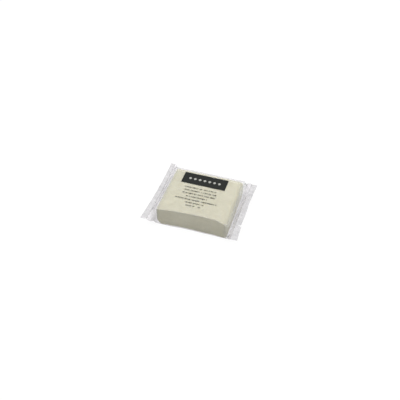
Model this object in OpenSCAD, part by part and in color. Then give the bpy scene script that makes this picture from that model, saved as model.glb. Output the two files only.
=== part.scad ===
// Kneaded eraser: a cut block of soft putty in a clear film wrapper with two flat crimped ends.
// X runs from one crimped end to the other, Y from the front cut face to the back one, Z up.
// The origin lies under the middle of the wrapper. Sizes are in millimetres.

/* [Eraser block] */
// Length of the block between the two crimped ends
block_l = 40; // [30:0.5:60]
// Depth of the block between its front and back cut faces
block_w = 35.2; // [26:0.2:50]
// Height of the block's flat top
block_h = 9.9; // [7.5:0.1:15]
// How much the front upper edge rises above the flat top, at its crest
crest_rise = 1.8; // [0.5:0.1:2.5]
// How far right of the middle that crest stands
crest_x = 6; // [0:0.5:8]
// How far back from the front face the rise runs out
crest_run = 9; // [5:0.5:14]
// Rounding at the right end of the rise
shoulder_r = 8; // [6:0.5:10]
// How far the front cut face is hollowed in its middle
hollow = 0.5; // [0.1:0.1:1]
// Rounding of the upper edge at the right end
right_r = 1.8; // [0.6:0.1:3]
// Rounding of the upper edge at the left end
left_r = 0.8; // [0.4:0.1:2]
// Rounding of the upper edge at the back
back_r = 0.8; // [0.4:0.1:2]
// Rounding of the lower edges at both ends
foot_r = 1.2; // [0.5:0.1:2]
// Rounding of the four upright corners
corner_r = 1.2; // [0.4:0.1:2]

/* [Film wrapper] */
// Thickness of the film
film_t = 0.1; // [0.06:0.01:0.2]
// Air between the film and the block's sides and top
wrap_gap = 0.15; // [0.1:0.05:0.4]
// How much wider the flat film tube is than half the way round the block's end
film_slack = 1.8; // [1.2:0.1:3]
// How far the left end of the film stands out from the block
left_reach = 6.7; // [5.5:0.1:12]
// How far the right end of the film stands out from the block
right_reach = 6.7; // [5.5:0.1:12]
// Height of the left flap, as a share of the block's height
left_rise = 0.7; // [0.3:0.01:0.85]
// Height of the right flap at the front, as a share of the block's height
right_rise_front = 0.68; // [0.3:0.01:0.7]
// Height of the right flap at the back, as a share of the block's height
right_rise_back = 0.38; // [0.3:0.01:0.7]
// Height of the film's side fold along the front, as a share of the film's height
front_fold = 0.3; // [0.2:0.01:0.8]
// Height of the film's side fold along the back, as a share of the film's height
back_fold = 0.7; // [0.2:0.01:0.8]
// How far the ends of the film bow in between their corners
seal_bow = 0.8; // [0:0.1:1.5]

/* [Crimped seals] */
// Width of the crimped band along each end
seal_band = 3.2; // [2.4:0.1:4]
// Ribs pressed into each band
ribs = 4; // [2:1:6]
// Height of a rib
rib_h = 0.16; // [0.05:0.01:0.3]
// Width of the seam folded flat under the wrapper
seam_w = 8; // [5:0.5:12]
// Place of the tear notch, from the middle towards the front
notch_y = 12.3; // [8:0.1:18]
// Depth of the tear notch
notch_d = 2; // [1:0.1:2.2]
// Width of the tear notch at its mouth
notch_w = 1.8; // [0.6:0.1:2.4]

/* [Hidden] */
$fn = 240;
putty = [0.84, 0.83, 0.75];
clear_film = [0.86, 0.86, 0.88, 0.45];

// The seam is two layers of film folded flat on a third, and the block lies on it
seam_t = 2 * film_t;
block_z = seam_t + film_t;
// Depth of the crease along each edge of the seam, underneath
crease_d = 0.5 * film_t;
seal_t = 2 * film_t;
// Where the two layers meet, the space between them ends as a slit
slit_h = 0.6 * film_t;

// The crest is one arc, which meets the flat top this far from the left end
crest_start = 1.5;
crest_chord = block_l / 2 + crest_x - crest_start;
crest_r = (crest_chord * crest_chord + crest_rise * crest_rise) / (2 * crest_rise);
crest_c = block_h + crest_rise - crest_r;
// The rise slopes down to the back at this angle
crest_slope = atan(crest_rise / crest_run);
// Radius of the hollow in the front cut face, which takes in the whole face but its corners
hollow_half = block_l / 2 - corner_r;
hollow_r = (hollow_half * hollow_half + hollow * hollow) / (2 * hollow);
// Each rounding stands this far proud of the faces it joins, so that it crosses them cleanly
proud = 0.03;

// Half the depth and half the length of the space inside the film
inner_y = block_w / 2 + wrap_gap;
inner_x = block_l / 2 + wrap_gap;
tube_w = block_w + block_h + film_slack;
film_top = block_z + block_h + wrap_gap;
// The rounding at the crest's right end starts here, and the film leaves it at leave_x to run on straight
shoulder_x = block_l / 2 - shoulder_r;
shoulder_z = crest_c + sqrt(pow(crest_r - shoulder_r, 2) - pow(shoulder_x - crest_x, 2));
leave_x = shoulder_x + 0.24 * shoulder_r;
leave_slope = (leave_x - shoulder_x) / sqrt(pow(shoulder_r, 2) - pow(leave_x - shoulder_x, 2));

// Steps along and across the film
body_n = 20;
tent_n = 6;
side_n = 4;
bend_n = 4;
// Width of the step at each edge of the seam
seam_step = 0.1;
// How much further the film's outer face stands out from its sharp side folds, as a share of its thickness
fold_extra = 2;

function lerp(a, b, t) = a + (b - a) * t;

// ---------------------------------------------------------------- eraser block

// What the rounding of a corner takes away, between the directions a and b from the arc's centre
module outside_arc(centre, r, a, b) {
    translate(centre) difference() {
        polygon([[0, 0], 3 * r * a, 3 * r * (a + b), 3 * r * b]);
        circle(r = r);
    }
}

// Rounds a square corner that points along the signs sx and sy
module square_corner(corner, r, sx, sy) {
    outside_arc(corner - (r - proud) * [sx, sy], r, [sx, 0], [0, sy]);
}

module slab_profile() {
    difference() {
        translate([-block_l / 2, 0]) square([block_l, block_h]);
        square_corner([block_l / 2, block_h], right_r, 1, 1);
        square_corner([-block_l / 2, block_h], left_r, -1, 1);
        for (side = [-1, 1])
            square_corner([side * block_l / 2, 0], foot_r, side, -1);
    }
}

// The raised front edge, seen from the front; its lower part is sunk in the slab
module crest_profile() {
    sunk = 4;
    intersection() {
        translate([crest_x, crest_c]) circle(r = crest_r);
        translate([0.5 - block_l / 2, block_h - sunk]) square([block_l - 1, sunk + 2 * crest_rise]);
        union() {
            translate([0.5 - block_l / 2, block_h - sunk])
                square([shoulder_x + block_l / 2 - 0.5, sunk + 2 * crest_rise]);
            translate([shoulder_x, shoulder_z]) circle(r = shoulder_r + proud);
        }
    }
}

module raised_edge() {
    translate([0, -block_w / 2, block_h])
        rotate([-crest_slope, 0, 0])
            translate([0, crest_run + 2, -block_h])
                rotate([90, 0, 0])
                    linear_extrude(height = crest_run + 5) crest_profile();
}

module eraser_block() {
    color(putty)
        translate([0, 0, block_z])
            difference() {
                union() {
                    translate([0, block_w / 2, 0])
                        rotate([90, 0, 0])
                            linear_extrude(height = block_w + 1) slab_profile();
                    raised_edge();
                }
                // Front cut face
                translate([0, hollow - block_w / 2 - hollow_r, -1])
                    cylinder(h = block_h + 6, r = hollow_r);
                // Upper edge at the back
                rotate([90, 0, 90])
                    linear_extrude(height = block_l + 2, center = true)
                        square_corner([block_w / 2, block_h], back_r, 1, 1);
                // Upright corners
                for (sx = [-1, 1], sy = [-1, 1])
                    translate([0, 0, -1])
                        linear_extrude(height = block_h + 6)
                            square_corner([sx * block_l / 2, sy * block_w / 2], corner_r, sx, sy);
            }
}

// ---------------------------------------------------------------- film wrapper

// How much the front upper edge rises above the flat top, along X
function crest(x) =
    let (
        at = min(x, leave_x),
        arc = crest_c + sqrt(pow(crest_r, 2) - pow(at - crest_x, 2)),
        bend = at > shoulder_x ? shoulder_z + sqrt(pow(shoulder_r, 2) - pow(at - shoulder_x, 2)) : arc
    ) min(arc, bend) - block_h - max(0, x - leave_x) * leave_slope;

// How much the film over the block stands above the flat top there
function film_rise(x, y) = max(0, crest(x) / cos(crest_slope) - (y + block_w / 2) * tan(crest_slope));

// Half of one skin, from the middle of a side wall to the last point on the flat:
// [y, z, v], where v is the point's place across the film laid flat
function half_row(half, mid_z, edge_z, bend) =
    let (way = sign(edge_z - mid_z))
    concat(
        [for (k = [0 : side_n - 1])
            [half, lerp(mid_z, edge_z - way * bend.y, (k + 0.5) / side_n),
             lerp(tube_w / 2, half + bend.y, k / side_n)]],
        [for (k = [0 : bend_n])
            let (a = 90 * k / bend_n)
            [half - bend.x * (1 - cos(a)), edge_z - way * bend.y * (1 - sin(a)),
             lerp(half + bend.y, half - bend.x, k / bend_n)]]
    );

// One whole skin from front to back at x, with points on and either side of the seam's edges
function skin_row(x, upper) =
    let (
        high = film_top - film_t,
        edge_z = upper ? film_top : film_t,
        front_z = upper ? film_top + film_rise(x, -inner_y) : film_t,
        crisp = [wrap_gap, wrap_gap],
        front_half = half_row(inner_y, film_t + front_fold * high, front_z, crisp),
        back_half = half_row(inner_y, film_t + back_fold * high, edge_z, crisp),
        last = len(back_half) - 1,
        y0 = -front_half[last].x,
        y1 = back_half[last].x,
        s = seam_w / 2
    )
    concat(
        [for (p = front_half) [-p.x, p.y, -p.z]],
        [for (y = [lerp(y0, -s, 1 / 3), lerp(y0, -s, 2 / 3), -s - seam_step, -s, seam_step - s,
                   s - seam_step, s, s + seam_step, lerp(s, y1, 1 / 3), lerp(s, y1, 2 / 3)])
            [y, edge_z + (upper ? film_rise(x, y) : 0), y]],
        [for (k = [last : -1 : 0]) back_half[k]]
    );

// The film's inner face round the block at x: up the front, over the top and back underneath
function body_loop(x) =
    let (under = skin_row(x, false))
    concat(skin_row(x, true), [for (k = [len(under) - 1 : -1 : 0]) under[k]]);

// Height of a flap's middle, v being the place across it
function flap_z(side, v) =
    let (
        front = side < 0 ? left_rise : right_rise_front,
        back = side < 0 ? left_rise : right_rise_back
    ) block_z + block_h * lerp(front, back, v / tube_w + 0.5);

// Point j of the loop at the block's end carried out to the flap: t is the share of the way to the
// film's outer edge, s the share of the way to lying flat, lift its height over the flap's middle.
// The side folds flare out at once, as film does when it is drawn flat.
function flap_point(side, loop, j, t, s, lift) =
    let (
        p = loop[j],
        up = j < len(loop) / 2 ? 1 : -1,
        reach = (side < 0 ? left_reach : right_reach) - wrap_gap,
        bow = seal_bow * t * (1 - pow(2 * p.z / tube_w, 2))
    ) [
        side * (inner_x + reach * t - bow),
        lerp(p.x, p.z, s * (2 - s)),
        lerp(p.y, flap_z(side, p.z) + up * lift, s)
    ];

// Share of the way from the block to the outer edge at which a flap's seal begins
function seal_start(side) = 1 - seal_band / ((side < 0 ? left_reach : right_reach) - wrap_gap);

// The film's inner face but for the seam: both tents and the part round the block, left to right
function plain_stations() =
    let (tents = [for (side = [-1, 1])
        let (loop = body_loop(side * inner_x))
        [for (k = [1 : tent_n])
            [for (j = [0 : len(loop) - 1])
                flap_point(side, loop, j, seal_start(side) * k / tent_n, k / tent_n, slit_h / 2)]]])
    concat(
        [for (k = [tent_n - 1 : -1 : 0]) tents[0][k]],
        [for (k = [0 : body_n])
            let (x = lerp(-inner_x, inner_x, k / body_n))
            [for (p = body_loop(x)) [x, p.x, p.y]]],
        tents[1]
    );

// Share of the way to lying flat at station k of those
function flatness(k) = max(0, tent_n - k, k - tent_n - body_n) / tent_n;

// Point j of a loop of n: 2 on the seam, 1 on the crease at its edge, 0 elsewhere
function on_seam(j, n) =
    let (place = n - 1 - j - (side_n + bend_n + 1))
    place == 4 || place == 5 ? 2 : (place == 3 || place == 6 ? 1 : 0);

// The seam stands up inside the wrapper, and sinks away towards the seals
function inner_stations(plain) =
    [for (k = [0 : len(plain) - 1])
        [for (j = [0 : len(plain[k]) - 1])
            plain[k][j] + [0, 0, on_seam(j, len(plain[k])) == 2 ? seam_t * (1 - flatness(k)) : 0]]];

// Ribbed band of a seal, from its inner edge outwards
function seal_stations(side) =
    let (loop = body_loop(side * inner_x))
    [for (k = [1 : 2 * ribs])
        let (
            t = lerp(seal_start(side), 1, k / (2 * ribs)),
            rib = k == 2 * ribs ? 0 : (k % 2 == 1 ? rib_h / 2 : -rib_h / 2)
        )
        [for (j = [0 : len(loop) - 1])
            let (p = flap_point(side, loop, j, t, 1, seal_t / 2))
            p + [0, sign(p.y) * film_t, rib]]];

// Direction out of a grid of closed loops at point j of loop k
function outward(loops, k, j) =
    let (
        n = len(loops[k]),
        along = loops[min(k + 1, len(loops) - 1)][j] - loops[max(k - 1, 0)][j],
        round_it = loops[k][(j + 1) % n] - loops[k][(j + n - 1) % n],
        c = cross(along, round_it)
    ) c / norm(c);

// Where the film is folded sharply at its sides, its outer face stands further out
function fold_room(j, n, flat) =
    (j + 1) % (n / 2) < 2 ? 1 + fold_extra * min(1, 2 * flat) : 1;

// Underneath, creases show the seam's edges, and the seam stands out where the film lies flat
function seam_outside(j, n, flat) =
    let (part = on_seam(j, n))
    [0, 0, part == 2 ? -seam_t * flat : (part == 1 ? crease_d * (1 - flat) : 0)];

// The film's outer face from one outer edge to the other
function outer_stations(plain) =
    let (
        n = len(plain[0]),
        left = seal_stations(-1),
        right = seal_stations(1)
    )
    concat(
        [for (k = [len(left) - 1 : -1 : 0]) [for (j = [0 : n - 1]) left[k][j] + seam_outside(j, n, 1)]],
        [for (k = [0 : len(plain) - 1])
            [for (j = [0 : n - 1])
                plain[k][j] + film_t * fold_room(j, n, flatness(k)) * outward(plain, k, j)
                    + seam_outside(j, n, flatness(k))]],
        [for (loop = right) [for (j = [0 : n - 1]) loop[j] + seam_outside(j, n, 1)]]
    );

// A closed surface through loops of points, capped at both ends
module skin_over(loops) {
    count = len(loops);
    n = len(loops[0]);
    function at(k, j) = k * n + j % n;
    function quad(a, b, c, d) = [[a, b, c], [a, c, d]];
    function cap(k, j) = quad(at(k, j), at(k, n - 1 - j), at(k, n - 2 - j), at(k, j + 1));
    function flipped(faces) = [for (f = faces) [f[0], f[2], f[1]]];
    faces = concat(
        [for (k = [0 : count - 2], j = [0 : n - 1])
            each quad(at(k, j), at(k, j + 1), at(k + 1, j + 1), at(k + 1, j))],
        [for (j = [0 : n / 2 - 2]) each cap(0, j)],
        [for (j = [0 : n / 2 - 2]) each flipped(cap(count - 1, j))]
    );
    polyhedron(points = [for (loop = loops, p = loop) p], faces = faces, convexity = 6);
}

// The V cut in the right seal that starts a tear
module tear_notch() {
    mouth_x = block_l / 2 + right_reach + 1;
    tip_x = block_l / 2 + right_reach - seal_bow * (1 - pow(2 * notch_y / tube_w, 2)) - notch_d;
    half_w = notch_w / 2 * (mouth_x - tip_x) / notch_d;
    linear_extrude(height = block_h + 4)
        polygon([[tip_x, -notch_y], [mouth_x, -notch_y - half_w], [mouth_x, -notch_y + half_w]]);
}

module film_wrapper() {
    plain = plain_stations();
    color(clear_film)
        difference() {
            skin_over(outer_stations(plain));
            skin_over(inner_stations(plain));
            tear_notch();
        }
}

eraser_block();
film_wrapper();
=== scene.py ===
"""Kneaded eraser in its clear film wrapper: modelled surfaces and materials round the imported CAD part.

Lengths here are in millimetres, in the part's own frame, and become metres when a mesh is made.
X runs from the left flap to the right one, Y from the front to the back, and Z up.
"""

import math

import bpy
import numpy as np
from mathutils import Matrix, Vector, noise


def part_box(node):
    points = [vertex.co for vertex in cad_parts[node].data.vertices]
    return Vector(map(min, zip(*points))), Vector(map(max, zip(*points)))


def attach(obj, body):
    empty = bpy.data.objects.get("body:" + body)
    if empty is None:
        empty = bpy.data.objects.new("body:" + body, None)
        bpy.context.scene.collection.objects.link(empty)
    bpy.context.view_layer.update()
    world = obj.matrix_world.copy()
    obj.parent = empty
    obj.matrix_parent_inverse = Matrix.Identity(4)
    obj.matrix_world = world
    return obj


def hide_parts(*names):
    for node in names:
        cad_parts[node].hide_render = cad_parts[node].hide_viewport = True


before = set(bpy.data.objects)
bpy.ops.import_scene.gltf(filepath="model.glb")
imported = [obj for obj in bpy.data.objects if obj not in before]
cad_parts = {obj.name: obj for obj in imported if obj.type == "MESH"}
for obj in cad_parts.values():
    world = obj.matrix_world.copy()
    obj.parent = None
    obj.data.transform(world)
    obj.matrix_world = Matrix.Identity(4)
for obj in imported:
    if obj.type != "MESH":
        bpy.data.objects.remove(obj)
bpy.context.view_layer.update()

MM = 0.001
SEED = 11

# ---------------------------------------------------------------- sizes shared with the part's source

block_low, block_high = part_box("eraser_block")
film_low, film_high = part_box("film_wrapper")

BLOCK_L = round((block_high.x - block_low.x) / MM, 1)
BLOCK_W = round((block_high.y - block_low.y) / MM, 1)
BLOCK_H = 9.9  # height of the block's flat top
REACH = round((film_high.x - film_low.x) / MM / 2 - BLOCK_L / 2, 2)  # from the block's end to the film's

CREST_RISE = 1.8  # how much the front upper edge rises above the flat top
CREST_X = 6.0  # where along X the rise is highest
CREST_RUN = 9.0  # how far back from the front face it runs out
CREST_START = 1.5  # where it starts, from the block's left end
SHOULDER_R = 8.0  # rounding at its right end
LEAVE_SHARE = 0.24  # where the film leaves that rounding, as a share of its radius

FILM_T = 0.1
WRAP_GAP = 0.15  # air between the film and the block's sides and top
FILM_SLACK = 1.8  # how much wider the flat tube is than half the way round the block
LEFT_RISE = (0.7, 0.7)  # height of the left flap at its front and back, over the block's height
RIGHT_RISE = (0.68, 0.38)  # the same for the right flap
FRONT_FOLD = 0.3  # height of the side fold along the front, over the film's height
BACK_FOLD = 0.7  # the same along the back
SEAL_BOW = 0.8  # how far the film's ends bow in between their corners

SEAL_BAND = 3.2  # width of the crimped band along each end
RIBS = 4  # ribs pressed into each band
RIB_H = 0.16  # height of a rib from trough to crest
SEAM_W = 8.0  # width of the seam folded flat under the wrapper
NOTCH_Y = -12.3  # the tear notch in the right band
NOTCH_D = 2.0
NOTCH_W = 1.8

SEAM_T = 2 * FILM_T
SEAL_T = 2 * FILM_T
BLOCK_Z = SEAM_T + FILM_T
SLIT_H = 0.6 * FILM_T  # the slit that the space inside the film ends as
CREASE_D = 0.5 * FILM_T  # the crease along each edge of the seam
FILM_TOP = BLOCK_Z + BLOCK_H + WRAP_GAP
INNER_X = BLOCK_L / 2 + WRAP_GAP
INNER_Y = BLOCK_W / 2 + WRAP_GAP
TUBE_W = BLOCK_W + BLOCK_H + FILM_SLACK
SEAL_START = 1 - SEAL_BAND / (REACH - WRAP_GAP)  # where a band starts, as a share of its flap

CREST_CHORD = BLOCK_L / 2 + CREST_X - CREST_START
CREST_R = (CREST_CHORD**2 + CREST_RISE**2) / (2 * CREST_RISE)
CREST_C = BLOCK_H + CREST_RISE - CREST_R
CREST_SLOPE = math.atan(CREST_RISE / CREST_RUN)
SHOULDER_X = BLOCK_L / 2 - SHOULDER_R
SHOULDER_Z = CREST_C + math.sqrt((CREST_R - SHOULDER_R) ** 2 - (SHOULDER_X - CREST_X) ** 2)
LEAVE_X = SHOULDER_X + LEAVE_SHARE * SHOULDER_R
LEAVE_SLOPE = LEAVE_SHARE / math.sqrt(1 - LEAVE_SHARE**2)

# ---------------------------------------------------------------- colours, as linear numbers

PUTTY = (0.735, 0.725, 0.565)
PUTTY_DARK = (0.66, 0.645, 0.485)
# the veil's grey and lilac, blended by the painted shade of its facets' slope
HAZE_LILAC = (0.43, 0.405, 0.44)
HAZE_GREY = (0.44, 0.44, 0.43)
# the veil's colour where a painted highlight is laid on the film
HIGHLIGHT_HAZE = (0.85, 0.87, 0.85)
FILM_TINT = (0.985, 0.98, 0.985)
INK = (0.018, 0.020, 0.018)
PALE_INK = (0.45, 0.45, 0.42)


# ---------------------------------------------------------------- curves


def lerp(a, b, t):
    return a + (b - a) * t


def smooth(t):
    """0 to 1 with an easy start and end."""
    t = np.clip(t, 0, 1)
    return t * t * (3 - 2 * t)


def ramp(value, start, end):
    """0 where value is start and 1 where it is end, with an easy way between."""
    return smooth((value - start) / (end - start))


def hump(value, height, middle, width):
    """A soft hump that falls away on both sides of its middle."""
    return height * np.exp(-(((value - middle) / width) ** 2))


# ---------------------------------------------------------------- node helpers


def add(tree, kind, inputs=None, **settings):
    """A new node with its settings, and its inputs set to numbers or linked to sockets."""
    node = tree.nodes.new(kind)
    for name, value in settings.items():
        setattr(node, name, value)
    for name, value in (inputs or {}).items():
        if isinstance(value, bpy.types.NodeSocket):
            tree.links.new(value, node.inputs[name])
        else:
            node.inputs[name].default_value = value
    return node


def calc(tree, operation, *values):
    """The output of a Math node."""
    return add(tree, "ShaderNodeMath", dict(enumerate(values)), operation=operation).outputs[0]


def product(tree, first, *others):
    """Several values multiplied together."""
    for other in others:
        first = calc(tree, "MULTIPLY", first, other)
    return first


def inside(tree, value, low, high):
    """1 where value lies between low and high."""
    return calc(tree, "COMPARE", value, (low + high) / 2, (high - low) / 2)


def from_middle(tree, value, middle):
    """How far value is from middle, either way."""
    return calc(tree, "ABSOLUTE", calc(tree, "SUBTRACT", value, middle))


def noise_of(tree, place, scale, detail, stretch=(1, 1, 1)):
    """A noise pattern whose scale is in patches per millimetre."""
    moved = add(tree, "ShaderNodeMapping", {"Vector": place, "Scale": stretch})
    inputs = {"Vector": moved.outputs[0], "Scale": scale, "Detail": detail}
    return add(tree, "ShaderNodeTexNoise", inputs).outputs[0]


def chance_of(tree, number):
    """A random value from 0 to 1 for each number."""
    return add(tree, "ShaderNodeTexWhiteNoise", {"W": number}, noise_dimensions="1D").outputs[0]


def spread(tree, value, low, high):
    """A noise value, mostly from 0.3 to 0.7, spread from low to high."""
    inputs = {"Value": value, "From Min": 0.3, "From Max": 0.7, "To Min": low, "To Max": high}
    return add(tree, "ShaderNodeMapRange", inputs).outputs[0]


def attribute(tree, name):
    """A value that the mesh keeps on its points."""
    return add(tree, "ShaderNodeAttribute", attribute_name=name).outputs["Fac"]


def blend_colours(tree, share, first, second):
    """A mix of two colours, each a plain one or a socket.

    A Mix node takes its colours in inputs 6 and 7, and gives their mix as output 2.
    """
    made = add(tree, "ShaderNodeMix", {0: share}, data_type="RGBA")
    for index, colour in ((6, first), (7, second)):
        if isinstance(colour, bpy.types.NodeSocket):
            tree.links.new(colour, made.inputs[index])
        else:
            made.inputs[index].default_value = (*colour, 1)
    return made.outputs[2]


def mix_shaders(tree, share, first, second):
    """A mix of two shader nodes: all the first where share is 0, and all the second where it is 1."""
    inputs = {0: share, 1: first.outputs[0], 2: second.outputs[0]}
    return add(tree, "ShaderNodeMixShader", inputs)


def empty_tree(owner):
    """The emptied node tree of a material or a world."""
    owner.use_nodes = True
    owner.node_tree.nodes.clear()
    return owner.node_tree


def new_material(name):
    """A material with an empty node tree, and the piece's own coordinates in millimetres."""
    material = bpy.data.materials.new(name)
    tree = empty_tree(material)
    own = add(tree, "ShaderNodeTexCoord").outputs["Object"]
    place = add(tree, "ShaderNodeVectorMath", {0: own, "Scale": 1 / MM}, operation="SCALE")
    return material, tree, place.outputs[0]


def finish_material(tree, shader):
    add(tree, "ShaderNodeOutputMaterial", {"Surface": shader.outputs[0]})


def place_in_scene(name, data):
    """A new object in the scene."""
    made = bpy.data.objects.new(name, data)
    bpy.context.scene.collection.objects.link(made)
    return made


# ---------------------------------------------------------------- the block's own shape

RUN_OUT = 0.5  # how softly the raised edge runs out into the flat top
BEND_X = 16.5  # the block's ends bend beyond this: the top sags at the right, the foot lifts at the left
SAG = 0.1  # how much the top sags, times the square of the distance
LIFT = 0.2  # how much the foot lifts, in the same way
SWELL = 0.2  # how far the front face swells out at its foot
SWELL_LEFT = 0.4  # how much more it swells at the left
SWELL_X = (-4.0, -12.0)  # where that starts and where it is full
SWELL_FADE = 2.0  # how far up the swelling fades


def block_crest(x):
    """How much the block's front upper edge rises above its flat top, along X."""
    arc = CREST_C + np.sqrt(CREST_R**2 - (x - CREST_X) ** 2)
    turn = np.clip(x - SHOULDER_X, 0, SHOULDER_R)
    bend = SHOULDER_Z + np.sqrt(SHOULDER_R**2 - turn**2)
    return np.where(x > SHOULDER_X, np.minimum(arc, bend), arc) - BLOCK_H


def above_flat(y, edge):
    """Height above the flat top at y, where the front upper edge rises by edge."""
    return edge / math.cos(CREST_SLOPE) - (y + BLOCK_W / 2) * math.tan(CREST_SLOPE)


def soft_top(plain):
    """A rise that runs out softly where the plain one would end in a line."""
    return (plain + np.sqrt(plain**2 + RUN_OUT**2)) / 2


def foot_swell(x, z):
    """How far the front face swells out, most at its foot and towards the left."""
    swell = SWELL + SWELL_LEFT * ramp(x, *SWELL_X)
    return swell * np.exp(-np.maximum(z - BLOCK_Z, 0) / SWELL_FADE)


# ---------------------------------------------------------------- eraser block: surface

VOXEL = 0.3  # size of its even faces
FRONT_RUN = 4.0  # how far behind the front face its swelling runs out
CRISP_FOOT = 0.3  # how far the foot of the front face comes out of its rounding
CRISP_FADE = 0.6

# How deep the putty is pressed in: on the whole, and by noises with their patches per millimetre
PRESSED = 0.045
ROLLED = (0.04, (0.09, 0.11, 0.2))
KNEADED = (0.018, (0.45, 0.4, 0.5))
DRAGGED = (0.022, (1.6, 0.2, 0.22))  # by the blade, on the two cut faces only

PITS = 36
PIT_WIDTHS = (0.25, 0.6)
PIT_DEPTHS = (0.02, 0.06)


def even_mesh(node, name):
    """A copy of a CAD node with small even faces and slightly softened edges."""
    piece = place_in_scene(name, node.data.copy())
    even = piece.modifiers.new("even", "REMESH")
    even.mode = "VOXEL"
    even.voxel_size = VOXEL * MM
    soften = piece.modifiers.new("soften", "SMOOTH")
    soften.factor = 0.5
    soften.iterations = 5
    bpy.context.view_layer.update()
    depsgraph = bpy.context.evaluated_depsgraph_get()
    piece.data = bpy.data.meshes.new_from_object(piece.evaluated_get(depsgraph))
    piece.modifiers.clear()
    return piece


def read_surface(mesh):
    """The mesh's points in millimetres, and its normals there."""
    points = np.empty(len(mesh.vertices) * 3)
    normals = np.empty_like(points)
    mesh.vertices.foreach_get("co", points)
    mesh.vertex_normals.foreach_get("vector", normals)
    return points.reshape(-1, 3) / MM, normals.reshape(-1, 3)


def noise_at(points, scale, shift=0):
    """Smooth noise from -1 to 1 at each point."""
    return np.array([noise.noise(Vector(p)) for p in (points + shift) * np.array(scale)])


def pit_depth(points):
    """Depth of the small round pits scattered over the surface."""
    pits = np.zeros(len(points))
    draw = np.random.default_rng(SEED)
    for _ in range(PITS):
        at = points[draw.integers(len(points))]
        width = draw.uniform(*PIT_WIDTHS)
        near = np.linalg.norm(points - at, axis=1) / width
        pits = np.maximum(pits, draw.uniform(*PIT_DEPTHS) * np.exp(-near * near))
    return pits


def worked_depth(points, normals):
    """How deep the putty is pressed in at each point."""
    cut = ramp(np.abs(normals[:, 1]), 0.7, 0.9)
    depth = PRESSED + ROLLED[0] * noise_at(points, ROLLED[1])
    depth += KNEADED[0] * noise_at(points, KNEADED[1], shift=40)
    depth += DRAGGED[0] * cut * noise_at(points, DRAGGED[1], shift=90)
    return depth + pit_depth(points)


def bend_block(points, normals):
    """Softens the end of the raised edge, bends the block's two ends and swells its foot."""
    middle = BLOCK_H / 2
    x, y = points[:, 0], points[:, 1]
    plain = above_flat(y, block_crest(x))
    softened = (soft_top(plain) - np.maximum(plain, 0)) * ramp(normals[:, 2], 0.5, 0.8)
    sag = SAG * np.maximum(x - BEND_X, 0) ** 2
    points[:, 2] += softened - sag * ramp(points[:, 2], middle, BLOCK_H)
    lift = LIFT * np.maximum(-BEND_X - x, 0) ** 2
    points[:, 2] += lift * ramp(points[:, 2], middle, 0)
    crisp = CRISP_FOOT * np.exp(-np.maximum(points[:, 2] - BLOCK_Z, 0) / CRISP_FADE)
    near_front = ramp(-y - BLOCK_W / 2, -FRONT_RUN, 0)
    points[:, 1] -= (foot_swell(x, points[:, 2]) + crisp) * near_front


def press_putty(mesh):
    """Works the block's faces a little unevenly, always inwards, so it stays inside its wrapper."""
    points, normals = read_surface(mesh)
    depth = worked_depth(points, normals)
    bend_block(points, normals)
    resting = ramp(-normals[:, 2], 0.8, 0.95)
    points -= normals * (depth * (1 - resting))[:, None]
    mesh.vertices.foreach_set("co", (points * MM).ravel())
    mesh.shade_smooth()
    mesh.update()


# ---------------------------------------------------------------- eraser block: material


def putty_material():
    """Matt putty with a faint mottle, fine grain and smears along its length."""
    material, tree, place = new_material("soft_putty")
    mottle = noise_of(tree, place, scale=0.35, detail=4)
    cloud = noise_of(tree, place, scale=0.09, detail=2)
    grain = noise_of(tree, place, scale=9, detail=3)
    smear = noise_of(tree, place, scale=0.8, detail=4, stretch=(1, 0.12, 1))
    shade = calc(tree, "ADD", spread(tree, mottle, 0, 0.5), spread(tree, cloud, 0, 0.5))
    wear = calc(tree, "MULTIPLY_ADD", mottle, 0.6, calc(tree, "MULTIPLY", grain, 0.4))
    height = calc(tree, "MULTIPLY_ADD", smear, 1.6, grain)
    bump = add(tree, "ShaderNodeBump", {"Strength": 0.35, "Distance": 0.03 * MM, "Height": height})
    shader = add(
        tree,
        "ShaderNodeBsdfPrincipled",
        {
            "Base Color": blend_colours(tree, shade, PUTTY, PUTTY_DARK),
            "Roughness": spread(tree, wear, 0.5, 0.72),
            "Subsurface Weight": 0.12,
            "Subsurface Radius": (1.0, 0.8, 0.5),
            "Subsurface Scale": 0.6 * MM,
            "Normal": bump.outputs[0],
        },
    )
    finish_material(tree, shader)
    return material


def build_block():
    piece = even_mesh(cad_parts["eraser_block"], "putty_block")
    press_putty(piece.data)
    piece.data.materials.clear()
    piece.data.materials.append(putty_material())
    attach(piece, "root")
    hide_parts("eraser_block")


# ---------------------------------------------------------------- film: where it runs

EDGE_BEND = 0.5  # radius of the film's bend over the block's edges
BACK_PUFF = (0.5, 16.9, 1.1)  # how far it stands off the upper back edge, where along Y, and how wide
FOOT_FOLLOW = 1.15  # how closely it follows the swelling of the block's foot
FOOT_AIR = 0.05
FULL_CORNER = 1.15  # how full it stands under the left flap's front corner
FULL_RUN = 6.0
LEFT_SKEW = 0.9  # how much the left edge draws in from its front corner to its back one
CORNER_OUT = 0.35  # how much further out the right edge stands in front of the tear notch
CORNER_RUN = 0.8
EDGE_SWAY = (0.35, -3.0, 6.0)  # how far the right edge sways out behind the notch, where, and how wide


def film_crest(x):
    """How much the film's front upper edge rises above its flat top, along X."""
    edge = block_crest(np.minimum(x, LEAVE_X))
    return edge - np.maximum(0, x - LEAVE_X) * LEAVE_SLOPE


def film_rise(x, y):
    """How much the film stands above its flat top, running out softly to the back and the ends."""
    return soft_top(above_flat(y, film_crest(x)))


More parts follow.
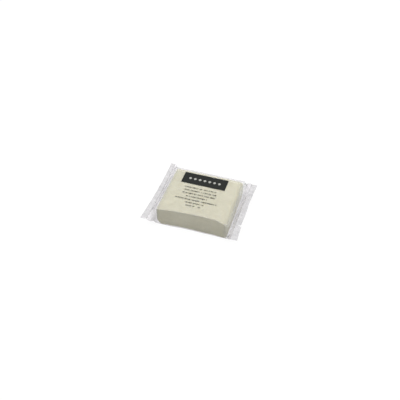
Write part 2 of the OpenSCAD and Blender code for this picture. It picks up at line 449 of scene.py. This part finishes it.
def wrapped(v, fold_z, edge_z):
    """Half of one layer round the block: y and z at places v, from 0 to half the tube's width.

    It lies flat at edge_z, bends over the block's edge, and runs on to the side fold at fold_z.
    """
    way = np.sign(edge_z - fold_z)
    wall_end = INNER_Y + EDGE_BEND
    flat_end = INNER_Y - EDGE_BEND
    up_wall = (TUBE_W / 2 - v) / (TUBE_W / 2 - wall_end)
    turn = np.clip((wall_end - v) / (wall_end - flat_end), 0, 1) * math.pi / 2
    bend_y = INNER_Y - EDGE_BEND * (1 - np.cos(turn))
    bend_z = edge_z - way * EDGE_BEND * (1 - np.sin(turn))
    wall_z = lerp(fold_z, edge_z - way * EDGE_BEND, up_wall)
    stretches = [v > wall_end, v < flat_end]
    y = np.select(stretches, [INNER_Y, v], bend_y)
    z = np.select(stretches, [wall_z, edge_z], bend_z)
    return y, z


def body_layer(x, v, upper):
    """y and z of one layer round the block, for stations x and places v."""
    edge = np.full_like(v, FILM_T)
    if upper:
        edge = FILM_TOP + film_rise(x, np.clip(v, -INNER_Y, INNER_Y)) + hump(v, *BACK_PUFF)
    high = FILM_TOP - FILM_T
    y_front, z_front = wrapped(-v, FILM_T + FRONT_FOLD * high, edge)
    out = foot_swell(x, z_front) * FOOT_FOLLOW + FOOT_AIR
    y_front = y_front + out * ramp(-v, INNER_Y - 3, INNER_Y)
    y_back, z_back = wrapped(v, FILM_T + BACK_FOLD * high, edge)
    return np.where(v < 0, -y_front, y_back), np.where(v < 0, z_front, z_back)


def flap_height(side, v):
    front, back = LEFT_RISE if side < 0 else RIGHT_RISE
    return BLOCK_Z + BLOCK_H * lerp(front, back, v / TUBE_W + 0.5)


def bowed_in(v):
    """How much of the seals' bow there is at v: all of it in the middle, none at the corners."""
    return 1 - (2 * v / TUBE_W) ** 2


def edge_reach(side, v):
    """How far out the film's outer edge is, and how far out it would be with no notch."""
    plain = INNER_X + REACH - WRAP_GAP - SEAL_BOW * bowed_in(v)
    if side < 0:
        plain = plain - LEFT_SKEW * (v / TUBE_W + 0.5)
        return plain, plain
    plain = plain + CORNER_OUT * ramp(v, NOTCH_Y, NOTCH_Y - CORNER_RUN) + hump(v, *EDGE_SWAY)
    notch = NOTCH_D * np.clip(1 - np.abs(v - NOTCH_Y) / (NOTCH_W / 2), 0, 1)
    return plain - notch, plain


def seal_inner(v):
    """How far out the seal's inner edge is."""
    return INNER_X + (REACH - WRAP_GAP - SEAL_BOW * bowed_in(v)) * SEAL_START


# ---------------------------------------------------------------- film: folds and wrinkles

FLAP_WAVES = (5.3, 3.1, 7.9, 2.3)  # lengths of the waves that both layers of a flap share
FLAP_SLANT = 1.1  # how much they may slant, in radians
LAYER_WAVES = (2.9, 4.3, 6.1)  # the same for one layer on its own
LAYER_SLANT = 0.5
WAVE_BEND = 0.35  # how much their folds bend
FOLD_LINE = 0.13  # half width of the cloudy line along a fold
FAN_LINE = 0.12
FAN_REACH = 5.0  # how far the folds that fan out from a corner reach
FAN_START = 1.5
FAN_HEIGHT = 2.2


def fold_wave(phase):
    """A wave of straight slopes from 0 to 1, and which way it slopes."""
    turn = phase - np.floor(phase)
    return 1 - np.abs(2 * turn - 1), np.where(turn < 0.5, 1.0, -1.0)


def crumple(draw, x, v, waves, slant):
    """Flat facets between straight folds: height from -1 to 1, nearness to a fold, and painted shade by
    which way the facets slope.
    """
    height = np.zeros_like(x)
    fold = np.zeros_like(x)
    slope_shade = np.zeros_like(x)
    for wave in waves:
        angle = draw.uniform(-slant, slant)
        bend = WAVE_BEND * np.sin(v * draw.uniform(0.1, 0.3) + draw.uniform(0, 6))
        across = v * math.cos(angle) + x * math.sin(angle) + bend
        slope, way = fold_wave(across / wave + draw.uniform(0, 1))
        height += (slope - 0.5) * 2 / len(waves)
        gap = np.minimum(slope, 1 - slope) * wave / 2
        fold = np.maximum(fold, hump(gap, draw.uniform(0.4, 1.0), 0, FOLD_LINE))
        # painted shade: facets that slope one way get more haze and a lilac veil, those that slope the
        # other way a grey one
        slope_shade += way * draw.uniform(0.3, 1.0) / len(waves)
    return height, fold, slope_shade


def corner_fan(draw, out, v, corner):
    """Folds that fan out from one of the block's corners, out being the distance from its end."""
    r = np.hypot(out, v - corner)
    angle = np.arctan2(v - corner, out + 0.01)
    slope, _ = fold_wave(angle * draw.uniform(1.6, 2.2) + draw.uniform(0, 1))
    gap = np.minimum(slope, 1 - slope) * r / 4
    near = np.exp(-r / FAN_REACH) * ramp(r, 0, FAN_START)
    return (slope - 0.5) * near, hump(gap, near, 0, FAN_LINE)


def draw_for(side, part):
    """Random draws that start the same each time for one side's flap, upper layer or lower one."""
    part_number = ("flap", "upper", "lower").index(part) + 3 * (side > 0)
    return np.random.default_rng(SEED + 10 * part_number)


def flap_folds(side, out, v):
    """Folds that both layers share, strongest where they lie together."""
    return crumple(draw_for(side, "flap"), out, v, FLAP_WAVES, FLAP_SLANT)


def layer_folds(side, upper, out, v):
    """Folds of one layer between the block and the seal."""
    draw = draw_for(side, "upper" if upper else "lower")
    height, fold, slope_shade = crumple(draw, out, v, LAYER_WAVES, LAYER_SLANT)
    for corner in (-BLOCK_W / 2, BLOCK_W / 2):
        fan, fan_fold = corner_fan(draw, out, v, corner)
        height = height + FAN_HEIGHT * fan
        fold = np.maximum(fold, fan_fold)
    return height, fold, slope_shade


# ---------------------------------------------------------------- film: marks and haze

# What a point of the film keeps, in columns after its x, y and z: how flat its layers lie together, how
# far its folds stand out, nearness to a fold, the painted shade by its facet's slope, its distance out
# from the block's end, the creases with painted shadow lines and the painted highlights along the
# block's edges, and whether it is on the seam and on the film's rim
PLACE = slice(0, 3)
FLAT, PUCKER, FOLD, SLOPE_SHADE, OUT, CREASE_AND_SHADOW, PAINTED_HIGHLIGHT, SEAM, RIM = range(3, 12)
COLUMNS = 12

# How cloudy the film is, as the share of light that one surface scatters
CLEAR_HAZE = 0.02
FLAP_HAZE = 0.088
# painted shade by the slope of the film's facets
SLOPE_SHADE_HAZE = 0.014
FOLD_HAZE = 0.04
BAND_HAZE = 0.135
# the seam and the rim are cloudier, and the creases with their painted shadow lines and the painted
# highlights add to the haze too
MORE_HAZE = {SEAM: 0.05, RIM: 0.3, CREASE_AND_SHADOW: 0.16, PAINTED_HIGHLIGHT: 0.13}
HAZE_LIMITS = (0.01, 0.9)
CLOSING = 0.7  # how much the film clears where its layers close up before a seal

# Creases, painted shadow lines and painted highlights along the block's edges: strength, place and width
LEFT_SHINE = (0.8, -1.0, 0.75)
RIGHT_SHINE = (1.2, -0.5, 0.9)
SIDE_SHINE = (0.5, 0.4, 0.9)
LEFT_SHADOW_LINE = (1.7, 0.4, 0.55)
LEFT_CLEARING = (-0.45, 2.5, 0.7)
RIGHT_FOOT_SHADOW = (0.5, 2.0, 0.5)
BACK_CREASE = (0.9, 17.2, 0.7)
FRONT_CREASE = (0.5, -INNER_Y, 0.45)
FRONT_FOOT_SHADOW = (1.0, -INNER_Y, 0.6)


def film_haze_and_painted_light(kept):
    """How cloudy each point of the film is: nearly clear over the block, cloudier in the flaps, with
    painted shade, painted shadow lines and painted highlights added in as haze.
    """
    flap = ramp(kept[:, OUT], -0.6, 0.1)
    band = ramp(kept[:, FLAT], 0.9, 1.0)
    closing = CLOSING * ramp(kept[:, FLAT], 0.3, 0.7) * (1 - band)
    loose = FLAP_HAZE + SLOPE_SHADE_HAZE * kept[:, SLOPE_SHADE] + FOLD_HAZE * kept[:, FOLD]
    haze_and_painted_light = CLEAR_HAZE + flap * loose * (1 - closing) + BAND_HAZE * band
    for column, more in MORE_HAZE.items():
        haze_and_painted_light += more * kept[:, column]
    return np.clip(haze_and_painted_light, *HAZE_LIMITS)


def edge_marks(side, out, v, upper):
    """Dull creases and painted shadow lines where the film turns round the block's edges and under its
    front foot, and a painted highlight, the pale band where it shines.

    side is the nearer end's, and out is below 0 over the block.
    """
    over_block = ramp(-out, 0, 0.5)
    front = ramp(-v, INNER_Y - 0.5, INNER_Y + 0.1)
    short_of_back = ramp(v, 16.5, 13.5)
    # painted highlights where the film bends over the block's ends
    if side < 0:
        painted_highlight = hump(out, *LEFT_SHINE) * (1 if upper else front)
    else:
        painted_highlight = hump(out, *RIGHT_SHINE) * front
    if not upper:
        # painted contact shadow under the block's front foot, on the lower layer
        return over_block * hump(v, *FRONT_FOOT_SHADOW), painted_highlight
    # crease: cloudy creases along the upper back and front edges, and then the painted shadow lines
    crease = over_block * (hump(v, *BACK_CREASE) + hump(v, *FRONT_CREASE))
    if side < 0:
        # painted shadow line beside the block's left end, with a clearer strip beyond it
        along = (1 - 0.8 * front) * short_of_back
        crease += along * hump(out, *LEFT_SHADOW_LINE) + hump(out, *LEFT_CLEARING)
    else:
        to_back = ramp(v, -2, 12)
        # painted highlight along the right end, stronger towards the back
        painted_highlight += (1 + 1.2 * to_back) * (1 - front) * hump(out, *SIDE_SHINE)
        # painted shadow of the block's foot, seen through the right tent
        along = (1 - 0.5 * to_back) * (1 - front) * short_of_back
        crease += along * hump(out, *RIGHT_FOOT_SHADOW)
    return crease, painted_highlight


# ---------------------------------------------------------------- film: the surface

BODY_STEP = 0.5  # steps along the wrapper over the block, and counts of steps in a flap
TENT_STEPS = 18
BAND_STEPS = 28
WIDE_STEP = 0.45  # steps across it
BACK_STEP = 0.4
NOTCH_STEP = 0.33
BEND_STEP = 0.17
SEAM_STEP = 0.1
FLAP_WAVE = 0.16  # height of the folds that both layers share
LAYER_WAVE = 0.2  # height of one layer's own folds, half way to the seal
END_PUCKER = 0.05  # how far the upper layer puckers by the block's ends
PUCKER_RUN = 1.6
FOLD_RUN = 1.5  # how near the side folds all this dies out
RIB_SHADE = 0.5  # painted shade on the ribs: how much cloudier and more lilac they are on their crests


def columns():
    """Places across the flat tube, from its front fold to its back one, finest at the bends."""
    seam = SEAM_W / 2
    stretches = [
        (-TUBE_W / 2, WIDE_STEP),
        (-INNER_Y - EDGE_BEND, BEND_STEP),
        (-INNER_Y + EDGE_BEND, WIDE_STEP),
        (NOTCH_Y - NOTCH_W / 2, NOTCH_STEP),
        (NOTCH_Y, NOTCH_STEP),
        (NOTCH_Y + NOTCH_W / 2, WIDE_STEP),
        (-seam - SEAM_STEP, SEAM_STEP),
        (-seam, SEAM_STEP),
        (SEAM_STEP - seam, WIDE_STEP),
        (seam - SEAM_STEP, SEAM_STEP),
        (seam, SEAM_STEP),
        (seam + SEAM_STEP, WIDE_STEP),
        (INNER_Y - 3, BACK_STEP),
        (INNER_Y - EDGE_BEND, BEND_STEP),
        (INNER_Y + EDGE_BEND, BACK_STEP),
        (TUBE_W / 2, BACK_STEP),
    ]
    places = []
    for (start, step), (end, _) in zip(stretches, stretches[1:]):
        count = max(1, round((end - start) / step))
        places += [lerp(start, end, k / count) for k in range(count)]
    return np.array(places + [TUBE_W / 2])


def stations():
    """Each station along the wrapper: its side (-1, 0 or 1) and how far along its part it is."""
    body_count = round(2 * INNER_X / BODY_STEP)
    body = [(0, k / body_count) for k in range(body_count + 1)]
    tent = [(1, k / TENT_STEPS) for k in range(1, TENT_STEPS + 1)]
    return [(-1, share) for _, share in tent[::-1]] + body + tent


def body_row(share, v, upper):
    """x, y, z and distance out of one layer's inner face, at a station over the block."""
    x = np.full_like(v, lerp(-INNER_X, INNER_X, share))
    y, z = body_layer(x, v, upper)
    return x, y, z, np.abs(x) - INNER_X


def tent_row(side, share, v, upper):
    """The same at a station beside the block, where the two layers close up towards the seal."""
    out = (seal_inner(v) - INNER_X) * share
    y_start, z_start = body_layer(np.full_like(v, side * INNER_X), v, upper)
    z_end = flap_height(side, v) + (1 if upper else -1) * SLIT_H / 2
    full = FULL_CORNER * ramp(-v, INNER_Y - FULL_RUN, INNER_Y) if side < 0 else 0
    y = lerp(y_start, v, share * (2 - share))
    z = lerp(z_start, z_end, share - full * share * (1 - share) ** 2)
    return side * (INNER_X + out), y, z, out


def layer_grid(v, upper):
    """One layer's inner face from seal to seal, as rows of points with what they keep."""
    grid = []
    to_fold = ramp(TUBE_W / 2 - np.abs(v), 0, FOLD_RUN)
    for side, share in stations():
        if side == 0:
            x, y, z, out = body_row(share, v, upper)
            flat, near_end = 0.0, np.exp(np.minimum(out, 0) / PUCKER_RUN)
        else:
            x, y, z, out = tent_row(side, share, v, upper)
            flat, near_end = share, 1 - share
        end = side or (1 if x[0] > 0 else -1)
        shared, shared_fold, shared_shade = flap_folds(end, out, v)
        own, own_fold, own_shade = layer_folds(end, upper, out, v)
        row = np.zeros((len(v), COLUMNS))
        row[:, PLACE] = np.stack([x, y, z + FLAP_WAVE * shared * flat**1.5], 1)
        row[:, FLAT] = flat
        row[:, PUCKER] = 4 * flat * (1 - flat) * LAYER_WAVE * own * to_fold
        if upper:
            row[:, PUCKER] += END_PUCKER * (own + 1) * near_end * to_fold
        row[:, FOLD] = lerp(own_fold, shared_fold, flat)
        row[:, SLOPE_SHADE] = lerp(own_shade, shared_shade, flat)
        row[:, OUT] = out
        row[:, CREASE_AND_SHADOW], row[:, PAINTED_HIGHLIGHT] = edge_marks(end, out, v, upper)
        grid.append(row)
    return np.array(grid)


def band_grid(side, v, upper):
    """One outer face of a ribbed seal, from its inner edge outwards."""
    grid = []
    start = seal_inner(v)
    end, plain_end = edge_reach(side, v)
    lift = (1 if upper else -1) * SEAL_T / 2 * ramp(TUBE_W / 2 - np.abs(v), 0, 0.2)
    for k in range(1, BAND_STEPS + 1):
        at = lerp(start, end, k / BAND_STEPS)
        from_edge = plain_end - at
        ribs = np.sin(2 * math.pi * from_edge / (SEAL_BAND / RIBS)) * ramp(from_edge, 0, 0.3)
        height, fold, slope_shade = flap_folds(side, at - INNER_X, v)
        row = np.zeros((len(v), COLUMNS))
        row[:, 0] = side * at
        row[:, 1] = v * (1 + 2 * FILM_T / TUBE_W)
        row[:, 2] = flap_height(side, v) + FLAP_WAVE * height + lift + RIB_H / 2 * ribs
        row[:, FLAT] = 1
        row[:, FOLD] = fold
        # painted shade on the ribs, laid on top of the slope shade of the flap's facets
        row[:, SLOPE_SHADE] = slope_shade + RIB_SHADE * ribs
        row[:, OUT] = at - INNER_X
        grid.append(row)
    return np.array(grid)


def ring(upper, lower):
    """Joins the two layers' rows into closed loops that share their fold points."""
    return np.concatenate([upper, lower[:, -2:0:-1]], axis=1)


def outward(loops):
    """Directions out of a grid of closed loops."""
    along = np.gradient(loops, axis=0)
    around = np.roll(loops, -1, axis=1) - np.roll(loops, 1, axis=1)
    across = np.cross(along, around)
    return across / np.linalg.norm(across, axis=2, keepdims=True)


def seam_marks(v):
    """1 on the folded seam, and 1 on the crease at its edges, each as a loop round the film."""
    half = SEAM_W / 2
    on_seam = np.abs(v) <= half + 1e-6
    on_crease = np.abs(np.abs(v) - half - SEAM_STEP) < 1e-6
    upper = np.zeros((1, len(v)))
    return ring(upper, on_seam[None]), ring(upper, on_crease[None])


def film_skins(v):
    """The film's outer and inner skins, each a grid of closed loops from end to end."""
    base = ring(layer_grid(v, True), layer_grid(v, False))
    bands = [ring(band_grid(side, v, True), band_grid(side, v, False)) for side in (-1, 1)]
    seam, crease = seam_marks(v)
    for grid in (base, *bands):
        grid[..., SEAM] = seam
    base[..., PLACE] += outward(base[..., PLACE]) * base[..., PUCKER, None]
    flat = base[..., FLAT]
    inner = base.copy()
    inner[..., 2] += seam * SEAM_T * (1 - flat)
    outer = base.copy()
    outer[..., PLACE] += outward(base[..., PLACE]) * FILM_T
    outer[..., 2] += crease * CREASE_D * (1 - flat) - seam * SEAM_T * flat
    for band in bands:
        band[..., 2] -= seam * SEAM_T
    left, right = bands
    outer = np.concatenate([left[::-1], outer, right])
    outer[0, :, RIM] = outer[-1, :, RIM] = 1
    return outer, inner


def cap_faces(first, m, n):
    """Faces that close a flattened loop of n points between its upper and lower rows of m."""
    faces = [[first, first + 1, first + n - 1]]
    for i in range(1, m - 2):
        faces.append([first + i, first + i + 1, first + n - i - 1, first + n - i])
    faces.append([first + m - 2, first + m - 1, first + m])
    return faces


def skin_faces(first, rows, m, n):
    """Faces of one skin, seen from outside: its rows of quads, then the caps at its two ends."""
    k, j = np.meshgrid(np.arange(rows - 1), np.arange(n), indexing="ij")
    a = first + k * n + j
    b = first + k * n + (j + 1) % n
    quads = np.stack([a, a + n, b + n, b], -1).reshape(-1, 4).tolist()
    last = first + (rows - 1) * n
    return quads + cap_faces(first, m, n) + [face[::-1] for face in cap_faces(last, m, n)]


def keep(mesh, name, values):
    """Keeps one value on each point of the mesh, for its material."""
    made = mesh.attributes.new(name, "FLOAT", "POINT")
    made.data.foreach_set("value", values.astype(np.float32))


def film_mesh():
    """The film as one closed mesh with its looks kept on its points, and its count of outer faces."""
    v = columns()
    m, n = len(v), 2 * len(v) - 2
    outer, inner = film_skins(v)
    outer_faces = skin_faces(0, len(outer), m, n)
    inner_faces = [face[::-1] for face in skin_faces(len(outer) * n, len(inner), m, n)]
    kept = np.concatenate([outer, inner]).reshape(-1, COLUMNS)
    mesh = bpy.data.meshes.new("film_sleeve")
    mesh.from_pydata((kept[:, PLACE] * MM).tolist(), [], outer_faces + inner_faces)
    # kept for the material: the haze with painted light in it, the painted slope shade and the painted
    # highlights
    keep(mesh, "haze_and_painted_light", film_haze_and_painted_light(kept))
    keep(mesh, "slope_shade", 0.5 + 0.5 * kept[:, SLOPE_SHADE])
    keep(mesh, "painted_highlight", kept[:, PAINTED_HIGHLIGHT])
    return mesh, len(outer_faces)


# ---------------------------------------------------------------- film: print

# One dark field with a row of lozenges in it, and centred rows of short strokes
PANEL_X = (-14.0, 11.6)
PANEL_Y = (7.0, 15.5)
LOZENGES = 7
LOZENGE_HALF_L = 0.95
LOZENGE_HALF_W = 1.0
ROWS_TOP = 5.29
ROW_PITCH = 2.37
ROW_MIDDLE = -1.45
ROW_HALF_LENGTHS = (8.95, 9.8, 9.55, 6.2, 11.85, 5.4, 4.3)

STROKE_PITCH = 0.55
STROKE_WIDTHS = (0.32, 0.67)  # least and most, as shares of that pitch
STROKE_HALF_HEIGHTS = (0.1, 0.22)  # least and most, as shares of the row pitch
GAP_CHANCE = 0.14  # the chance that a stroke is left out
FAR_LEFT = 100  # counting the strokes starts this far left of the middle
ROW_NUMBERS = 97  # what one row adds to its strokes' numbers

PRINT_MARGIN = 1.0  # how far beyond the dark field the printed film reaches


def lozenge_marks(tree, x, y):
    """A row of small lozenges along the middle of the dark field."""
    low, high = PANEL_X
    pitch = (high - low) / (LOZENGES + 2)
    step = calc(tree, "DIVIDE", calc(tree, "SUBTRACT", x, low), pitch)
    away_x = from_middle(tree, calc(tree, "FRACT", step), 0.5)
    away_y = from_middle(tree, y, sum(PANEL_Y) / 2)
    slant = pitch * LOZENGE_HALF_W / LOZENGE_HALF_L
    lozenge = calc(tree, "LESS_THAN", calc(tree, "MULTIPLY_ADD", away_x, slant, away_y), LOZENGE_HALF_W)
    return product(tree, lozenge, inside(tree, x, low + pitch, high - pitch))


def row_half_length(tree, row):
    """Half the length of each row, looked up by its number."""
    count = len(ROW_HALF_LENGTHS)
    longest = max(ROW_HALF_LENGTHS)
    share = calc(tree, "DIVIDE", calc(tree, "ADD", row, 0.5), count)
    lookup = add(tree, "ShaderNodeValToRGB", {0: share})
    steps = lookup.color_ramp
    steps.interpolation = "CONSTANT"
    while len(steps.elements) < count:
        steps.elements.new(1.0)
    for element, (k, half) in zip(steps.elements, enumerate(ROW_HALF_LENGTHS)):
        element.position = k / count
        element.color = (*[half / longest] * 3, 1)
    return calc(tree, "MULTIPLY", lookup.outputs[0], longest)


def between(tree, chance, limits):
    """A size between two limits, by chance."""
    low, high = limits
    return calc(tree, "MULTIPLY_ADD", chance, high - low, low)


def stroke_rows(tree, x, y):
    """Centred rows of short upright strokes of uneven width and height."""
    down = calc(tree, "DIVIDE", calc(tree, "SUBTRACT", ROWS_TOP, y), ROW_PITCH)
    row = calc(tree, "FLOOR", down)
    in_row = calc(tree, "LESS_THAN", from_middle(tree, x, ROW_MIDDLE), row_half_length(tree, row))
    along = calc(tree, "DIVIDE", calc(tree, "ADD", x, FAR_LEFT), STROKE_PITCH)
    number = calc(tree, "MULTIPLY_ADD", row, ROW_NUMBERS, calc(tree, "FLOOR", along))
    chance = chance_of(tree, number)
    luck = chance_of(tree, calc(tree, "ADD", number, 0.5))
    wide = calc(tree, "LESS_THAN", calc(tree, "FRACT", along), between(tree, chance, STROKE_WIDTHS))
    off_middle = from_middle(tree, calc(tree, "FRACT", down), 0.5)
    tall = calc(tree, "LESS_THAN", off_middle, between(tree, luck, STROKE_HALF_HEIGHTS))
    printed = calc(tree, "GREATER_THAN", chance, GAP_CHANCE)
    rows = inside(tree, y, ROWS_TOP - len(ROW_HALF_LENGTHS) * ROW_PITCH, ROWS_TOP)
    return product(tree, in_row, wide, printed, tall, rows)


def ink_over(tree, place, film, normal):
    """The print, laid over the film's own shader."""
    where = add(tree, "ShaderNodeSeparateXYZ", {0: place})
    x, y = where.outputs[0], where.outputs[1]
    panel = product(tree, inside(tree, x, *PANEL_X), inside(tree, y, *PANEL_Y))
    marks = product(tree, panel, lozenge_marks(tree, x, y))
    mask = calc(tree, "MAXIMUM", panel, stroke_rows(tree, x, y))
    ink = add(
        tree,
        "ShaderNodeBsdfPrincipled",
        {
            "Base Color": blend_colours(tree, marks, INK, PALE_INK),
            "Roughness": spread(tree, noise_of(tree, place, scale=2.5, detail=3), 0.28, 0.42),
            "Specular IOR Level": 0.1,
            "Normal": normal,
        },
    )
    return mix_shaders(tree, mask, film, ink)


# ---------------------------------------------------------------- film: material

FACE_ON = 0.02  # share of light that a surface of the film mirrors face on
GRAZING = 0.8  # how much more it mirrors at a grazing angle
GRAZING_POWER = 5.0
CLOUD_SPREAD = (0.8, 1.2)  # how much streaks and patches each thin and thicken the haze
SHARP_BEND = 50  # the film is shaded sharply where it bends by more, in degrees


def mirror_share(tree, normal):
    """How much of the light a film surface mirrors: little face on, most at a grazing angle."""
    facing = add(tree, "ShaderNodeLayerWeight", {"Normal": normal}).outputs["Facing"]
    return calc(tree, "MULTIPLY_ADD", calc(tree, "POWER", facing, GRAZING_POWER), GRAZING, FACE_ON)


def film_material(name, printed):
    """Thin clear film: it mirrors by angle, and is cloudy where it is folded or crimped; its cloud and
    colour also carry painted shade, painted shadow lines and painted highlights.
    """
    material, tree, place = new_material(name)
    streaks = noise_of(tree, place, scale=0.55, detail=2, stretch=(0.5, 1, 1))
    patches = noise_of(tree, place, scale=0.28, detail=2)
    ripple = noise_of(tree, place, scale=1.1, detail=2, stretch=(0.6, 1, 1))
    bump = add(tree, "ShaderNodeBump", {"Strength": 0.25, "Distance": 0.05 * MM, "Height": ripple})
    normal = bump.outputs[0]
    uneven = (spread(tree, pattern, *CLOUD_SPREAD) for pattern in (streaks, patches))
    cloud = product(tree, attribute(tree, "haze_and_painted_light"), *uneven)
    # painted shade: the veil turns from grey to lilac by which way its facet slopes
    plain = blend_colours(tree, attribute(tree, "slope_shade"), HAZE_GREY, HAZE_LILAC)
    # painted highlight: a paler veil where the film bends round the block's ends
    colour = blend_colours(tree, attribute(tree, "painted_highlight"), plain, HIGHLIGHT_HAZE)
    veil_look = {"Base Color": colour, "Roughness": 0.4, "Normal": normal}
    veil = add(tree, "ShaderNodeBsdfPrincipled", veil_look)
    clear = add(tree, "ShaderNodeBsdfTransparent", {"Color": (*FILM_TINT, 1)})
    shine_look = {"Roughness": spread(tree, streaks, 0.08, 0.2), "Normal": normal}
    shine = add(tree, "ShaderNodeBsdfGlossy", shine_look)
    film = mix_shaders(tree, cloud, clear, veil)
    film = mix_shaders(tree, mirror_share(tree, normal), film, shine)
    if printed:
        film = ink_over(tree, place, film, normal)
    finish_material(tree, film)
    return material


def is_printed(face):
    """Whether a face of the outer skin is near the print on the wrapper's top."""
    x, y, z = face.center / MM
    near = abs(x) < abs(PANEL_X[0]) + PRINT_MARGIN and abs(y) < PANEL_Y[1] + PRINT_MARGIN
    return z > BLOCK_H / 2 and near


def build_film():
    mesh, outer_count = film_mesh()
    piece = place_in_scene("film_sleeve", mesh)
    mesh.materials.append(film_material("clear_film", printed=False))
    mesh.materials.append(film_material("printed_film", printed=True))
    for face in mesh.polygons[:outer_count]:
        face.material_index = int(is_printed(face))
    mesh.shade_smooth()
    mesh.set_sharp_from_angle(angle=math.radians(SHARP_BEND))
    mesh.update()
    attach(piece, "root")
    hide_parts("film_wrapper")


# ---------------------------------------------------------------- studio

FLOOR_REACH = 3.0  # in metres
FLOOR_DROP = 0.1
FLOOR_LIT = 0.72  # what lights the part from the floor
FLOOR_SHADED = 0.16  # what the camera sees of the floor: a little of its shading, and the rest glows
FLOOR_GLOW = 0.87
WORLD_LIGHT = 0.36
KEY = (1.95, 50, (-0.12, 0.12, 1))  # strength, how wide it looks in degrees, and where it comes from
FILL = (0.85, 60, (1, -0.1, 0.35))
LAMP_REACH = 0.5  # how far away the lamps stand, in metres, which makes no odds to their light
CAMERA_LENS = 50.547
CAMERA_AT = (67.37, -212.60, 224.97)
CAMERA_AIM = (-0.93, 1.26, 4.96)


def seen_directly(tree):
    """1 for rays from the camera, from a mirror and through clear things."""
    path = add(tree, "ShaderNodeLightPath")
    seen = calc(tree, "MAXIMUM", path.outputs["Is Camera Ray"], path.outputs["Is Glossy Ray"])
    return calc(tree, "MAXIMUM", seen, path.outputs["Is Transmission Ray"])


def plain_grey(tree, grey):
    """A matt shader of one grey."""
    return add(tree, "ShaderNodeBsdfDiffuse", {"Color": (grey, grey, grey, 1)})


def floor_material():
    """Pale grey to the part, and white to the camera where nothing shades it."""
    material = bpy.data.materials.new("pale_floor")
    tree = empty_tree(material)
    glow = add(tree, "ShaderNodeEmission", {"Strength": FLOOR_GLOW})
    shaded = plain_grey(tree, FLOOR_SHADED)
    white = add(tree, "ShaderNodeAddShader", {0: shaded.outputs[0], 1: glow.outputs[0]})
    finish_material(tree, mix_shaders(tree, seen_directly(tree), plain_grey(tree, FLOOR_LIT), white))
    return material


def build_floor():
    mesh = bpy.data.meshes.new("floor")
    corners = [(-1, -1), (1, -1), (1, 1), (-1, 1)]
    points = [(x * FLOOR_REACH, y * FLOOR_REACH, -FLOOR_DROP * MM) for x, y in corners]
    mesh.from_pydata(points, [], [(0, 1, 2, 3)])
    mesh.materials.append(floor_material())
    floor = place_in_scene("floor", mesh)


def build_world():
    """Soft white light from all round, and a white background."""
    world = bpy.data.worlds.new("studio")
    bpy.context.scene.world = world
    tree = empty_tree(world)
    light, seen = (
        add(tree, "ShaderNodeBackground", {"Color": (1, 1, 1, 1), "Strength": strength})
        for strength in (WORLD_LIGHT, 1.0)
    )
    mixed = mix_shaders(tree, seen_directly(tree), light, seen)
    add(tree, "ShaderNodeOutputWorld", {"Surface": mixed.outputs[0]})


def add_lamp(name, strength, width, source):
    """A far, soft lamp that shines from the direction source."""
    data = bpy.data.lights.new(name, "SUN")
    data.energy = strength
    data.angle = math.radians(width)
    lamp = place_in_scene(name, data)
    lamp.location = Vector(source).normalized() * LAMP_REACH
    lamp.rotation_mode = "QUATERNION"
    lamp.rotation_quaternion = Vector(source).to_track_quat("Z", "Y")


def build_camera():
    data = bpy.data.cameras.new("camera")
    data.sensor_width = 36
    data.lens = CAMERA_LENS
    data.clip_start = 0.01
    camera = place_in_scene("camera", data)
    camera.location = Vector(CAMERA_AT) * MM
    aim = Vector(CAMERA_AIM) * MM
    camera.rotation_mode = "QUATERNION"
    camera.rotation_quaternion = (aim - camera.location).to_track_quat("-Z", "Y")
    bpy.context.scene.camera = camera


build_block()
build_film()
build_floor()
build_world()
add_lamp("key", *KEY)
add_lamp("fill", *FILL)
build_camera()
bpy.context.scene.view_settings.view_transform = "Standard"
